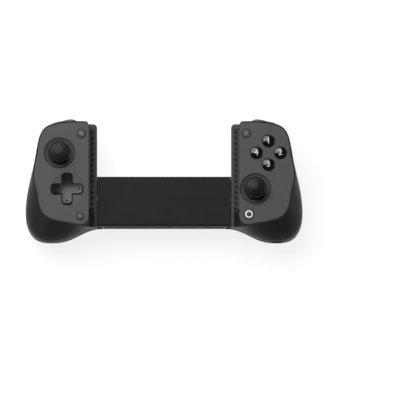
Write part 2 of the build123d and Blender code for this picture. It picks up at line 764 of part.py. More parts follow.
def dpad_pivot():
    """Small block with crossed pins: it tilts in the deck's stands and the pad tilts on it."""
    x, y = dpad_place
    half, rise = dpad_block / 2, dpad_block_height / 2
    body = slab(-half, half, -half, half, dpad_pivot_height - rise, dpad_pivot_height + rise)
    body = body + rod_along_x(-dpad_block - dpad_pin, dpad_block + dpad_pin, 0, dpad_pivot_height, dpad_pin)
    body = body + rod_along_y(0, -dpad_stem + seat_gap, dpad_stem - seat_gap, dpad_pivot_height, dpad_pin)
    return Pos(x, y, 0) * body


def round_key(place, radius, straight, rise):
    """Round button: a domed cap on a straight wall, with a flange that keeps it under the deck."""
    x, y = place
    wall_top = plate_face + straight
    dome = rise - straight
    ball = (radius * radius + dome * dome) / (2 * dome)
    foot = flange_top - flange_thickness
    cap = post(x, y, foot, wall_top + dome, radius) & Pos(x, y, wall_top + dome - ball) * Sphere(ball)
    return cap + post(x, y, foot, wall_top, radius) + post(x, y, foot, flange_top, radius + flange_width)


def face_button(place):
    return round_key(place, button_radius, button_edge, button_rise)


# Boards, battery, port
def board_outline():
    face = outline_face(drawn_in(deck_outline, board_margin))
    start = bay_wall + shell_wall + slip
    face = face & Pos(start + far_out / 2, 0) * Rectangle(far_out, far_out * 2)
    return face & Pos(far_out / 2, board_shoulder - far_up) * Rectangle(far_out * 2, far_up * 2)


def main_board(side):
    body = prism(board_outline(), board_top - board_thickness, board_top)
    x, y = left_stick_place if side == "left" else right_stick_place
    half = module_width / 2
    body = body - slab(x - half, x + half, y - half, y + half, module_bottom, board_top + overrun)
    if side == "left":
        body = body - post(*dpad_place, module_bottom, board_top + overrun, dpad_block * 1.6)
    for px, py in shell_screw_places + deck_screw_places:
        body = body - post(px, py, module_bottom, board_top + overrun, screw_boss)
    return body


def key_pad(side):
    """Silicone sheet with the contact domes, flat on the board under the keys of one side."""
    if side == "left":
        spots = small_keys(side)
    else:
        spots = tuple((place, button_radius) for place in button_places()) + small_keys(side)
    sheet = None
    for (x, y), radius in spots:
        disc = post(x, y, board_top, board_top + key_pad_thickness, radius + key_pad_margin)
        sheet = disc if sheet is None else sheet + disc
    board = prism(board_outline(), board_top, board_top + key_pad_thickness)
    return sheet & board


def plate_magnets():
    group = None
    for x, y in magnet_places:
        disc = post(x, y, deck_top - magnet_thickness, deck_top, magnet_radius)
        group = disc if group is None else group + disc
    return group


def battery():
    length, height, depth = battery_size
    body = Pos(*battery_place, battery_foot + depth / 2) * Box(length, height, depth)
    return fillet(body.edges().filter_by(Axis.Y), depth / 4)


def battery_cradle():
    """Two ribs on the rear shell that the battery lies on."""
    length, height, depth = battery_size
    x, y = battery_place
    ribs = None
    for way in (-1, 1):
        rib = Box(length * 2 / 3, rib_width, battery_foot)
        rib = Pos(x, y + way * height / 3, battery_foot / 2) * rib & back_solid
        ribs = rib if ribs is None else ribs + rib
    return ribs


port_mouth = -reach + shell_wall / 3
port_board_top = split_height - port_height / 2
port_board_bottom = port_board_top - port_board[2]
port_board_start = port_mouth + shell_wall * 2.2     # the screw boss beside the port ends here


def usb_port():
    """Metal shell of the charging port with its tongue and closed back."""
    inside = port_length - port_skin
    shell = port_outline(0, port_length, port_mouth) - port_outline(-port_skin, inside, port_mouth)
    wide, thick, long = port_tongue
    tongue = Pos(port_place, port_mouth + inside - long / 2, split_height) * Box(wide, long, thick)
    return shell + tongue


def usb_board():
    wide, long, thick = port_board
    return Pos(port_place, port_board_start + long / 2, port_board_top - thick / 2) * Box(wide, long, thick)


def port_stands():
    """Two ribs on the rear shell that the port's board lies on."""
    wide, long, thick = port_board
    y, z = port_board_start + long / 2, port_board_bottom / 2
    ribs = None
    for way in (-1, 1):
        rib = Pos(port_place + way * wide / 3, y, z) * Box(rib_width, long, port_board_bottom) & back_solid
        ribs = rib if ribs is None else ribs + rib
    return ribs


def grip_screws(side):
    group = None
    for x, y in shell_screw_places:
        one = screw(x, y, screw_seat, screw_tip, False)
        group = one if group is None else group + one
    for x, y in deck_screw_places:
        group = group + screw(x, y, deck_screw_seat, bridge_back + bridge_wall + slip, True)
    for offset in bar_screw_offsets:
        x, y = bar_outer_end - offset, bar_middle(side)
        group = group + screw(x, y, bar_top, bridge_back + bridge_wall / 2, True)
    return group


def liner_pits(z0, z1):
    """Row of wedge-shaped pits along the ledge, between two heights."""
    middle = (liner_foot + liner_top) / 2
    left = liner_inner + (bay_wall - liner_wall_thickness - liner_inner - pit_width) / 2
    pits = []
    for i in range(pit_count):
        y = middle + (i - (pit_count - 1) / 2) * pit_pitch
        high, low = y + pit_height / 2, y - pit_height / 2
        wedge = Polyline((left, high), (left + pit_width, high), (left + pit_width, low), close=True)
        pits.append(prism(make_face(wedge), z0, z1))
    return pits


def liner():
    """Rubber strip on the ledge and up the wall, cut through by the pits."""
    under, top = ledge_height - liner_thickness, ledge_height + liner_wall_height
    body = slab(liner_inner, bay_wall, liner_foot, liner_top, under, ledge_height)
    body = body + slab(bay_wall - liner_wall_thickness, bay_wall, liner_foot, liner_top, under, top)
    for pit in liner_pits(under - overrun, top + overrun):
        body = body - pit
    return body


# Bridge and slide
def bar_middle(side):
    """Middle of a slide bar across the bridge: the left bar runs above the pinion, the right one below."""
    inside_edge = pitch_radius + gear_module * 1.25
    outside_edge = bridge_width / 2 - bridge_wall - slip
    middle = (inside_edge + outside_edge) / 2
    return bridge_middle + middle if side == "left" else bridge_middle - middle


def slide_bar(side):
    """Bar along X, drawn for the right grip below the pinion, with a rack on its upper edge."""
    root = bridge_middle - pitch_radius - gear_module * 1.25
    foot = bridge_foot + bridge_wall + slip
    body = slab(bar_inner_end, bar_outer_end, foot, root, bar_bottom, bar_top)
    first, last = -travel - rack_margin, rack_margin
    slope = tan(radians(pressure_angle))
    pitch_line = bridge_middle - pitch_radius
    half = tooth_pitch / 4 - tooth_backlash / 2
    tip, foot_half = gear_module, half + (gear_module * 1.25) * slope
    count = int((last - first) / tooth_pitch)
    outline = []
    for i in range(-count, 3):
        x = (i + 0.5) * tooth_pitch
        if x < bar_inner_end + tooth_pitch:
            continue
        tip_half, crest = half - tip * slope, pitch_line + tip
        outline += [(x - foot_half, root), (x - tip_half, crest)]
        outline += [(x + tip_half, crest), (x + foot_half, root)]
    low = root - gear_module
    rack = make_face(Polyline(*outline, (outline[-1][0], low), (outline[0][0], low), close=True))
    body = body + prism(rack, bar_bottom, bar_top)
    middle = (foot + root) / 2
    for offset in bar_screw_offsets:
        x = bar_outer_end - offset
        body = body - post(x, middle, bar_bottom - overrun, bar_top + overrun, screw_radius + running_gap)
    body = body + post(-peg_place, middle, bar_top, bar_top + peg_height, peg_radius)
    if side == "left":
        body = Pos(0, bridge_middle, 0) * Rot(0, 0, 180) * Pos(0, -bridge_middle, 0) * body
    return body


def involute(base, radius):
    """Turn, in radians, of an involute's point at a radius."""
    roll = sqrt(max(radius * radius / (base * base) - 1, 0))
    return roll - atan2(roll, 1)


def on_circle(radius, turn):
    return (radius * cos(turn), radius * sin(turn))


def sync_pinion():
    base = pitch_radius * cos(radians(pressure_angle))
    root = pitch_radius - gear_module * 1.2
    tip = pitch_radius + gear_module * 0.92
    half = (tooth_pitch / 2 - tooth_backlash / 2) / pitch_radius / 2 + involute(base, pitch_radius)
    flank = [base + (tip - base) * i / 4 for i in range(5)]
    teeth = None
    for i in range(pinion_teeth):
        turn = 2 * pi * i / pinion_teeth
        left = [on_circle(r, turn + half - involute(base, r)) for r in flank]
        right = [on_circle(r, turn - half + involute(base, r)) for r in flank[::-1]]
        feet = [on_circle(root * 0.8, turn - half), on_circle(root * 0.8, turn + half)]
        tooth = make_face(Polyline(*left, *right, *feet, close=True))
        teeth = tooth if teeth is None else teeth + tooth
    disc = Circle(root) + teeth - Circle(pinion_axle + running_gap)
    body = prism(disc, bar_bottom, bar_top)
    return Pos(0, bridge_middle, 0) * body


def bridge_plan(half, inset_by):
    return Pos(0, bridge_middle) * Rectangle(2 * (half - inset_by), bridge_width - 2 * inset_by)


def bridge_front_cover():
    body = prism(bridge_plan(bridge_half, 0), bridge_split, bridge_front)
    body = fillet(body.faces().sort_by(Axis.Z)[-1].edges().filter_by(Axis.X), bridge_corner)
    under, foot = bridge_front - bridge_wall, bar_top + seat_gap
    body = body - prism(bridge_plan(bridge_half, bridge_wall), bridge_split - overrun, under)
    for side in ("left", "right"):
        y = bar_middle(side)
        for way in (-1, 1):
            near = y + way * (spring_radius + rib_width / 2)
            far = near + way * rib_width
            body = body + slab(-anchor_place, anchor_place, min(near, far), max(near, far), foot, under)
        x = anchor_place if side == "left" else -anchor_place
        body = body + post(x, y, foot, under, peg_radius)
    body = body + post(0, bridge_middle, foot, under, pinion_post)
    return body - post(0, bridge_middle, bridge_back, bar_top + 2 * gear_module, pinion_axle + running_gap)


def bridge_rear_cover():
    body = prism(bridge_plan(cover_half, 0), bridge_back, bridge_split)
    body = fillet(body.faces().sort_by(Axis.Z)[0].edges().filter_by(Axis.X), bridge_corner)
    long_room = Pos(0, bridge_middle) * Rectangle(2 * (cover_half + overrun), bridge_width - 2 * bridge_wall)
    body = body - prism(long_room, bridge_back + bridge_wall, bridge_split + overrun)
    body = body + post(0, bridge_middle, bridge_back + bridge_wall, bar_top + gear_module, pinion_axle)
    foot = bar_top + seat_gap
    for x in (-tab_place, 0, tab_place):
        for way in (-1, 1):
            inside = bridge_middle + way * (bridge_width / 2 - bridge_wall)
            outer = inside - way * running_gap
            inner = outer - way * tab_thickness
            low, high = min(inner, outer), max(inner, outer)
            tab = slab(x - tab_half, x + tab_half, low, high, foot, bridge_split + bridge_wall)
            low, high = min(inner, inside), max(inner, inside)
            root = slab(x - tab_half, x + tab_half, low, high, foot, bridge_split)
            body = body + tab + root
    return body


def return_spring(side):
    """Tension spring from an anchor on the bridge to the peg on a slide bar."""
    y = bar_middle(side)
    z = bar_top + seat_gap + spring_radius
    start, end = peg_place + peg_radius, anchor_place - peg_radius
    body = rod_along_x(start, end, y, z, spring_radius)
    body = body - rod_along_x(start - overrun, end + overrun, y, z, spring_bore)
    return body if side == "left" else Pos(0, 2 * y, 0) * Rot(0, 0, 180) * body


def link_ribbon():
    """Flat flexible cable between the grips, on the inside of the front cover."""
    near = bridge_middle - pinion_post - slip
    under = bridge_front - bridge_wall
    return slab(-ribbon_half, ribbon_half, near - ribbon_width, near, under - ribbon_thickness, under)


def on_side(body, side):
    return body if side == "right" else mirror(body, about=Plane.YZ)


nodes = {
    "bridge_front_cover": bridge_front_cover(),
    "bridge_rear_cover": bridge_rear_cover(),
    "sync_pinion": sync_pinion(),
    "link_ribbon": link_ribbon(),
}
for side in ("left", "right"):
    stick_place = left_stick_place if side == "left" else right_stick_place
    pieces = {
        "front_shell": front_shell(side),
        "rear_shell": rear_shell(side),
        "palm_pad": pad_region(0),
        "face_plate": face_plate(side),
        "plate_magnets": plate_magnets(),
        "liner": liner(),
        "stick_ring": stick_ring(stick_place),
        "stick_module": stick_module(stick_place),
        "stick_yoke": stick_yoke(stick_place),
        "stick_hub": stick_hub(stick_place),
        "stick_cap": stick_cap(stick_place),
        "bumper": bumper(),
        "trigger": trigger(),
        "trigger_pin": trigger_axle(),
        "main_board": main_board(side),
        "key_pad": key_pad(side),
        "screws": grip_screws(side),
    }
    for name, body in pieces.items():
        nodes[side + "_" + name] = on_side(body, side)
    nodes[side + "_slide_bar"] = slide_bar(side)
    nodes[side + "_return_spring"] = return_spring(side)

nodes["dpad"] = on_side(dpad(), "left")
nodes["dpad_pivot"] = on_side(dpad_pivot(), "left")
nodes["view_button"] = on_side(round_key(view_place, upper_key_radius, key_rise / 2, key_rise), "left")
nodes["capture_button"] = on_side(round_key(capture_place, capture_radius, key_rise / 2, key_rise), "left")
nodes["battery"] = on_side(battery(), "left")
for number, place in enumerate(button_places(), 1):
    nodes["face_button_" + str(number)] = face_button(place)
nodes["menu_button"] = round_key(menu_place, upper_key_radius, key_rise / 2, key_rise)
nodes["home_button"] = round_key(home_place, home_radius, key_rise / 2, key_rise)
nodes["usb_port"] = usb_port()
nodes["usb_board"] = usb_board()

os.makedirs("parts", exist_ok=True)
for name, body in nodes.items():
    export_step(body, "parts/" + name + ".step")
    print(name, len(body.solids()), round(body.volume, 1))
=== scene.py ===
import bpy
import bmesh
import json
from math import cos, pi, radians, sin, sqrt
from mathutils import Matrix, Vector


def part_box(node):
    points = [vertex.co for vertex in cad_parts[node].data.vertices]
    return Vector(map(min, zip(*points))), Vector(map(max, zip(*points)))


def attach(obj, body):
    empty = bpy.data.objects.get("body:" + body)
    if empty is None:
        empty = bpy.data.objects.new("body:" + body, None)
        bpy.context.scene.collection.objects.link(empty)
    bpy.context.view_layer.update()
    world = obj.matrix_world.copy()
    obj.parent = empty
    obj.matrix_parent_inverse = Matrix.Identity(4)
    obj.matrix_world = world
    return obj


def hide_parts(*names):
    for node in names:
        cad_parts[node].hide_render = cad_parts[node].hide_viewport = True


# Telescoping phone controller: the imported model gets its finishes, legends, lights and camera here.
# Everything is in metres. mm turns a size written in millimetres into metres.

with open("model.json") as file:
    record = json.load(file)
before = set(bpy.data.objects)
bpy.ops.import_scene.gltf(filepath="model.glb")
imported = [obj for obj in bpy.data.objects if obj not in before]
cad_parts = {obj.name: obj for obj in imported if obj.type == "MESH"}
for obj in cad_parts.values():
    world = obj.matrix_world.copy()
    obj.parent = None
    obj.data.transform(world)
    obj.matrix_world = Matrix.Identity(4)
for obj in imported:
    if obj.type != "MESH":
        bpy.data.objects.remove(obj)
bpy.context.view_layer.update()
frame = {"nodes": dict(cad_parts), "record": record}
nodes = frame["nodes"]
scene = bpy.context.scene
mm = 0.001
print("loaded", len(nodes), "nodes")


def toLinear(hexText):
    # sRGB hex to the linear colour that the shader wants
    values = []
    for i in (0, 2, 4):
        c = int(hexText[i:i + 2], 16) / 255
        values.append(c / 12.92 if c <= 0.04045 else ((c + 0.055) / 1.055) ** 2.4)
    return (*values, 1.0)


def addNode(tree, kind, settings=None, links=None):
    # one node: settings are attributes or input values, links are outputs wired to its inputs
    node = tree.nodes.new(kind)
    for key, value in (settings or {}).items():
        if isinstance(key, str) and hasattr(node, key):
            setattr(node, key, value)
        else:
            node.inputs[key].default_value = value
    for key, socket in (links or {}).items():
        tree.links.new(socket, node.inputs[key])
    return node


def newFinish(name):
    material = bpy.data.materials.new(name)
    material.use_nodes = True
    tree = material.node_tree
    tree.nodes.clear()
    place = addNode(tree, "ShaderNodeTexCoord").outputs["Object"]
    return material, tree, place


def mottle(tree, place, size, low, high):
    # soft patches of two colours, size is the patch in metres
    patches = addNode(tree, "ShaderNodeTexNoise", {"Scale": 1 / size, "Detail": 3.0}, {"Vector": place})
    mix = addNode(tree, "ShaderNodeMix", {"data_type": "RGBA"}, {0: patches.outputs["Fac"]})
    mix.inputs[6].default_value = toLinear(low)
    mix.inputs[7].default_value = toLinear(high)
    return mix.outputs[2]


def spread(tree, place, size, low, high):
    # a number that wanders between two limits over patches of a size: most of a noise lies within 0.3 and 0.7
    patches = addNode(tree, "ShaderNodeTexNoise", {"Scale": 1 / size, "Detail": 4.0}, {"Vector": place})
    limits = {"From Min": 0.3, "From Max": 0.7, "To Min": low, "To Max": high}
    return addNode(tree, "ShaderNodeMapRange", limits, {"Value": patches.outputs["Fac"]}).outputs[0]


# values of a look that go straight onto the shader
shaderSockets = {
    "ior": "IOR", "specular": "Specular IOR Level", "metallic": "Metallic",
    "sheen": "Sheen Weight", "sheenSpread": "Sheen Roughness",
    "milk": "Subsurface Weight", "milkDepth": "Subsurface Scale",
}


def closeFinish(tree, place, look, height=None, colour=None, rubbed=None, under=None):
    # the shader and the way out: colour and roughness wander over patches, a height pattern gives relief
    if colour is None:
        colour = mottle(tree, place, look["patch"], look["low"], look["high"])
    wear = spread(tree, place if rubbed is None else rubbed, look["wear"], *look["roughness"])
    links = {"Base Color": colour, "Roughness": wear}
    if height is not None:
        sources = {"Height": height}
        if under is not None:
            sources["Normal"] = under
        relief = {"Strength": look["relief"], "Distance": look["depth"]}
        links["Normal"] = addNode(tree, "ShaderNodeBump", relief, sources).outputs[0]
    settings = {socket: look[key] for key, socket in shaderSockets.items() if key in look}
    shader = addNode(tree, "ShaderNodeBsdfPrincipled", settings, links)
    addNode(tree, "ShaderNodeOutputMaterial", links={"Surface": shader.outputs[0]})


# Finishes. In each look patch and wear say how far apart the colour and the roughness change,
# depth is how deep the surface pattern goes, and relief is how strongly it bends the light.

sparkAbsLook = {
    "low": "191a1b", "high": "202122", "patch": 9 * mm,
    "roughness": (0.42, 0.50), "wear": 14 * mm, "ior": 1.54, "specular": 0.12,
    "grain": 0.35 * mm,       # spark-eroded mould grain is 0.05 to 0.1 mm, drawn coarser so that it shows
    "depth": 0.02 * mm, "relief": 0.5,
    "paint": ("484a49", "4d4f4e"),        # the ledge beside the phone is sprayed with the plate's paint
    "paintPatch": 20 * mm,
    # where the paint ends: to the side, at the foot, towards the near end, and beyond that on the lip; past the
    # near end the strip beside the plate keeps the dark shell colour as painted shade for the shadowed groove
    # there
    "paintSide": 57.5 * mm, "paintFoot": 28.0 * mm, "paintedShadeStart": -24.0 * mm, "lipSide": 53.8 * mm,
}


def ledgeMask(tree, place, look):
    # 1 on the ledge: nearer the middle than the plate's edge and above the ledge's foot, and past the ledge's end
    #                 on its lip alone. 0 on the strip beside the plate past that end: painted shade where the
    #                 groove lies in shadow
    axes = addNode(tree, "ShaderNodeSeparateXYZ", links={0: place})
    across = addNode(tree, "ShaderNodeMath", {"operation": "ABSOLUTE"}, {0: axes.outputs["X"]}).outputs[0]
    near = addNode(tree, "ShaderNodeMath", {"operation": "LESS_THAN", 1: look["paintSide"]}, {0: across})
    high = addNode(tree, "ShaderNodeMath", {"operation": "GREATER_THAN", 1: look["paintFoot"]},
                   {0: axes.outputs["Z"]})
    lip = addNode(tree, "ShaderNodeMath", {"operation": "LESS_THAN", 1: look["lipSide"]}, {0: across})
    along = addNode(tree, "ShaderNodeMath", {"operation": "GREATER_THAN", 1: look["paintedShadeStart"]},
                    {0: axes.outputs["Y"]})
    outsidePaintedShade = addNode(tree, "ShaderNodeMath", {"operation": "MAXIMUM"},
                     {0: lip.outputs[0], 1: along.outputs[0]})
    both = addNode(tree, "ShaderNodeMath", {"operation": "MULTIPLY"},
                   {0: near.outputs[0], 1: high.outputs[0]})
    return addNode(tree, "ShaderNodeMath", {"operation": "MULTIPLY"},
                   {0: both.outputs[0], 1: outsidePaintedShade.outputs[0]}).outputs[0]


def sparkAbs():
    # ABS moulded in a spark-eroded tool: dark grey, broad soft highlights, a dry fine grain close up
    look = sparkAbsLook
    material, tree, place = newFinish("moulded_abs_spark_grain")
    pits = addNode(tree, "ShaderNodeTexNoise", {"Scale": 1 / look["grain"], "Detail": 2.0, "Roughness": 0.6},
                   {"Vector": place})
    # the plate's paint on the ledge; the dark shell colour left on the strip beside the plate at its near end is
    # painted shade
    coat = addNode(tree, "ShaderNodeMix", {"data_type": "RGBA"}, {
        0: ledgeMask(tree, place, look),
        6: mottle(tree, place, look["patch"], look["low"], look["high"]),
        7: mottle(tree, place, look["paintPatch"], *look["paint"]),
    })
    closeFinish(tree, place, look, pits.outputs["Fac"], colour=coat.outputs[2])
    return material


plateLook = {
    "low": "4b4d4c", "high": "505251", "patch": 20 * mm,
    "roughness": (0.44, 0.52), "wear": 6 * mm, "ior": 1.50, "specular": 0.25,
    "peel": 1.6 * mm,         # orange peel of sprayed paint is 1 to 3 mm across
    "peelDepth": 0.02 * mm, "peelRelief": 0.25,
    "dust": 0.25 * mm,        # matting grains are finer, drawn coarser so that they show
    "depth": 0.01 * mm, "relief": 0.3,
}


def satinPaint():
    # ABS sprayed with satin paint: mid grey, even, a faint orange peel in the highlights
    look = plateLook
    material, tree, place = newFinish("satin_painted_abs")
    peel = addNode(tree, "ShaderNodeTexNoise", {"Scale": 1 / look["peel"], "Detail": 1.0}, {"Vector": place})
    dust = addNode(tree, "ShaderNodeTexNoise", {"Scale": 1 / look["dust"], "Detail": 2.0}, {"Vector": place})
    waves = addNode(tree, "ShaderNodeBump", {"Strength": look["peelRelief"], "Distance": look["peelDepth"]},
                    {"Height": peel.outputs["Fac"]})
    closeFinish(tree, place, look, dust.outputs["Fac"], under=waves.outputs[0])
    return material


polishedLook = {
    "low": "070708", "high": "0b0b0c", "patch": 8 * mm,
    "roughness": (0.05, 0.10), "ior": 1.58,
    "wear": 5 * mm,           # handling leaves faint dull patches some millimetres across
    "wave": 3 * mm, "depth": 0.01 * mm, "relief": 0.06,
}


def polishedPolycarbonate():
    # polycarbonate from a polished tool: deep black, sharp highlights that dull a little where it is touched
    look = polishedLook
    material, tree, place = newFinish("polished_black_polycarbonate")
    wave = addNode(tree, "ShaderNodeTexNoise", {"Scale": 1 / look["wave"], "Detail": 1.0}, {"Vector": place})
    closeFinish(tree, place, look, wave.outputs["Fac"])
    return material


# the D-pad and the home key are near black and shinier, the other small keys are grey
darkKeyLook = {
    "low": "0f1011", "high": "141516", "patch": 5 * mm,
    "roughness": (0.27, 0.34), "wear": 4 * mm, "ior": 1.54, "specular": 0.4,
    "grain": 0.3 * mm, "depth": 0.008 * mm, "relief": 0.25,
}
greyKeyLook = {
    "low": "3a3c3b", "high": "424443", "patch": 5 * mm,
    "roughness": (0.40, 0.50), "wear": 4 * mm, "ior": 1.54, "specular": 0.25,
    "grain": 0.3 * mm, "depth": 0.008 * mm, "relief": 0.25,
    "keys": ("view_button", "capture_button", "menu_button"),
}


def keyAbs(name, look):
    # ABS moulded with a finer grain than the shells: quiet, a little shinier than they are
    material, tree, place = newFinish(name)
    pits = addNode(tree, "ShaderNodeTexNoise", {"Scale": 1 / look["grain"], "Detail": 2.0}, {"Vector": place})
    closeFinish(tree, place, look, pits.outputs["Fac"])
    return material


stickLook = {
    "low": "0d0d0e", "high": "121313", "patch": 4 * mm,
    "roughness": (0.34, 0.42), "wear": 3 * mm, "ior": 1.48, "specular": 0.25,
    "grain": 0.4 * mm, "depth": 0.02 * mm, "relief": 0.4,
}


def stickRubber():
    # thermoplastic rubber moulded over the stick: near black, a soft wide gloss on the brow
    look = stickLook
    material, tree, place = newFinish("overmoulded_stick_rubber")
    pits = addNode(tree, "ShaderNodeTexNoise", {"Scale": 1 / look["grain"], "Detail": 2.5}, {"Vector": place})
    closeFinish(tree, place, look, pits.outputs["Fac"])
    return material


palmLook = {
    "low": "1c1d1e", "high": "232425", "patch": 7 * mm,
    "roughness": (0.58, 0.72), "wear": 5 * mm, "ior": 1.48, "sheen": 0.1, "sheenSpread": 0.5,
    "stud": 0.9 * mm,         # the pads' raised studs are about 0.6 mm apart, drawn coarser so that they show
    "uneven": 0.12,           # how far the studs stray from their rows
    "flank": (0.15, 0.5),     # a stud falls off between these shares of a spacing from its middle
    "depth": 0.12 * mm, "relief": 0.6,
}


def palmRubber():
    # rubber palm pad with rows of tiny studs from an etched tool: dull, it breaks the highlight into points
    look = palmLook
    material, tree, place = newFinish("studded_palm_rubber")
    studs = addNode(tree, "ShaderNodeTexVoronoi", {"Scale": 1 / look["stud"], "Randomness": look["uneven"]},
                    {"Vector": place})
    top, foot = look["flank"]
    tops = addNode(tree, "ShaderNodeMapRange",
                   {"From Min": top, "From Max": foot, "To Min": 1.0, "To Max": 0.0},
                   {"Value": studs.outputs["Distance"]})
    closeFinish(tree, place, look, tops.outputs[0])
    return material


linerLook = {
    "low": "3a3c3c", "high": "434545", "patch": 3 * mm,
    "roughness": (0.60, 0.74), "wear": 4 * mm, "ior": 1.43, "specular": 0.2,
    "skin": 0.5 * mm, "depth": 0.03 * mm, "relief": 0.4,
}


def linerSilicone():
    # pressed silicone rubber strip: dull dark grey with a faint skin, dust makes it uneven
    look = linerLook
    material, tree, place = newFinish("pressed_silicone_strip")
    skin = addNode(tree, "ShaderNodeTexNoise", {"Scale": 1 / look["skin"], "Detail": 3.0}, {"Vector": place})
    closeFinish(tree, place, look, skin.outputs["Fac"])
    return material


tapeAndPitShadeLook = {
    "low": "040404", "high": "070707", "patch": 2 * mm,
    "roughness": (0.80, 0.92), "wear": 2 * mm, "ior": 1.45, "specular": 0.1,
    "cell": 0.4 * mm, "depth": 0.01 * mm, "relief": 0.3,
}


def tapeFoam():
    # black acrylic foam tape, under the liner and as a stop pad: soot black and dull with fine open cells; its
    # soot black at the foot of the liner's pits is painted shade that makes the shallow pits read as deep
    look = tapeAndPitShadeLook
    material, tree, place = newFinish("black_foam_tape_and_pit_shade")
    cells = addNode(tree, "ShaderNodeTexNoise", {"Scale": 1 / look["cell"], "Detail": 3.0}, {"Vector": place})
    closeFinish(tree, place, look, cells.outputs["Fac"])
    return material


ringLook = {
    "low": "424444", "high": "4a4c4c", "patch": 3 * mm,
    "roughness": (0.36, 0.46), "wear": 2 * mm, "ior": 1.48,
    "mark": 0.3 * mm, "depth": 0.01 * mm, "relief": 0.3,
}


def ringAcetal():
    # moulded acetal wear ring: slightly waxy grey with fine marks of the tool
    look = ringLook
    material, tree, place = newFinish("waxy_acetal_ring")
    marks = addNode(tree, "ShaderNodeTexNoise", {"Scale": 1 / look["mark"], "Detail": 2.0}, {"Vector": place})
    closeFinish(tree, place, look, marks.outputs["Fac"])
    return material


bridgeLook = {
    "low": "242425", "high": "282828", "patch": 6 * mm,
    "roughness": (0.52, 0.62), "wear": 10 * mm, "ior": 1.53, "specular": 0.10,
    "fibre": 0.4 * mm,        # short glass fibres are 0.2 to 0.4 mm long
    "drawn": 0.15,            # the flow draws the pattern out along the bridge
    "depth": 0.012 * mm, "relief": 0.4,
}


def glassFilledNylon():
    # glass-filled nylon, moulded along the bridge: flat charcoal with a faint drawn-out streak
    look = bridgeLook
    material, tree, place = newFinish("moulded_glass_filled_nylon")
    along = addNode(tree, "ShaderNodeMapping", {"Scale": (look["drawn"], 1.0, 1.0)},
                    {"Vector": place}).outputs[0]
    fibres = addNode(tree, "ShaderNodeTexNoise", {"Scale": 1 / look["fibre"], "Detail": 3.0},
                     {"Vector": along})
    closeFinish(tree, place, look, fibres.outputs["Fac"],
                colour=mottle(tree, along, look["patch"], look["low"], look["high"]))
    return material


barLook = {
    "low": "0e0e0f", "high": "131314", "patch": 8 * mm,
    "roughness": (0.30, 0.42), "wear": 1 * mm, "ior": 1.48,
    "rub": 0.4 * mm, "drawn": 0.02,       # rubbing lines lie close together and run along the bar
    "depth": 0.01 * mm, "relief": 0.3,
}


def blackAcetal():
    # black acetal slide bars and gimbals: smooth, oily sheen with fine rubbing lines along the travel
    look = barLook
    material, tree, place = newFinish("moulded_black_acetal")
    along = addNode(tree, "ShaderNodeMapping", {"Scale": (look["drawn"], 1.0, 1.0)},
                    {"Vector": place}).outputs[0]
    rubs = addNode(tree, "ShaderNodeTexNoise", {"Scale": 1 / look["rub"], "Detail": 2.0}, {"Vector": along})
    closeFinish(tree, place, look, rubs.outputs["Fac"], rubbed=along)
    return material


pinionLook = {
    "low": "cfcabd", "high": "dcd8cc", "patch": 3 * mm,
    "roughness": (0.32, 0.42), "wear": 2 * mm, "ior": 1.48, "milk": 0.15, "milkDepth": 1 * mm,
}


def naturalAcetal():
    # undyed acetal pinion: milky off-white, light goes a little way in
    material, tree, place = newFinish("natural_acetal")
    closeFinish(tree, place, pinionLook)
    return material


steelLook = {
    "low": "b9babb", "high": "cfcfce", "patch": 1.5 * mm,
    "roughness": (0.22, 0.40), "wear": 1 * mm, "metallic": 1.0,
    "draw": 0.2 * mm, "depth": 0.005 * mm, "relief": 0.3,
}


def zincPlatedSteel():
    # zinc-plated steel screws, pins and sheet parts: bright, slightly milky, with fine draw marks
    look = steelLook
    material, tree, place = newFinish("zinc_plated_steel")
    marks = addNode(tree, "ShaderNodeTexNoise", {"Scale": 1 / look["draw"], "Detail": 2.0}, {"Vector": place})
    closeFinish(tree, place, look, marks.outputs["Fac"])
    return material


boardLook = {
    "low": "0f3a22", "high": "15482c", "patch": 4 * mm,
    "roughness": (0.25, 0.40), "wear": 2 * mm, "ior": 1.55,
    "weaveScale": 125.0,      # a band every 2.5 mm: a real weave is finer, drawn coarser so that it shows
    "bend": 0.4, "depth": 0.01 * mm, "relief": 0.3,
}


def epoxyBoard():
    # glass-epoxy board under green solder resist: the glass weave shows faintly through
    look = boardLook
    material, tree, place = newFinish("glass_epoxy_board")
    weave = addNode(tree, "ShaderNodeTexWave", {"Scale": look["weaveScale"], "Distortion": look["bend"]},
                    {"Vector": place})
    closeFinish(tree, place, look, weave.outputs["Fac"])
    return material


sheetLook = {
    "low": "9a9da0", "high": "abadaf", "patch": 3 * mm,
    "roughness": (0.45, 0.6), "wear": 3 * mm, "ior": 1.41, "milk": 0.2, "milkDepth": 1 * mm,
    "skin": 0.6 * mm, "depth": 0.02 * mm, "relief": 0.3,
}


def milkySilicone():
    # thin silicone key sheet: milky grey, soft
    look = sheetLook
    material, tree, place = newFinish("milky_silicone_sheet")
    skin = addNode(tree, "ShaderNodeTexNoise", {"Scale": 1 / look["skin"], "Detail": 2.0}, {"Vector": place})
    closeFinish(tree, place, look, skin.outputs["Fac"])
    return material


pouchLook = {
    "low": "a9acb0", "high": "bcbfc2", "patch": 6 * mm,
    "roughness": (0.28, 0.45), "wear": 4 * mm, "metallic": 1.0,
    "crease": 3 * mm, "bend": 1.2, "depth": 0.15 * mm, "relief": 0.4,
}


def foilPouch():
    # aluminium foil laminate of the battery pouch: dull silver with small creases
    look = pouchLook
    material, tree, place = newFinish("aluminium_foil_laminate")
    creases = addNode(tree, "ShaderNodeTexNoise",
                      {"Scale": 1 / look["crease"], "Detail": 5.0, "Distortion": look["bend"]},
                      {"Vector": place})
    closeFinish(tree, place, look, creases.outputs["Fac"])
    return material


filmLook = {
    "low": "8a5413", "high": "9a6018", "patch": 5 * mm,
    "roughness": (0.25, 0.35), "wear": 3 * mm, "ior": 1.7,
    "trackScale": 200.0,      # a line every 1.6 mm: real tracks are finer, drawn coarser so that they show
    "depth": 0.02 * mm, "relief": 0.5,
}


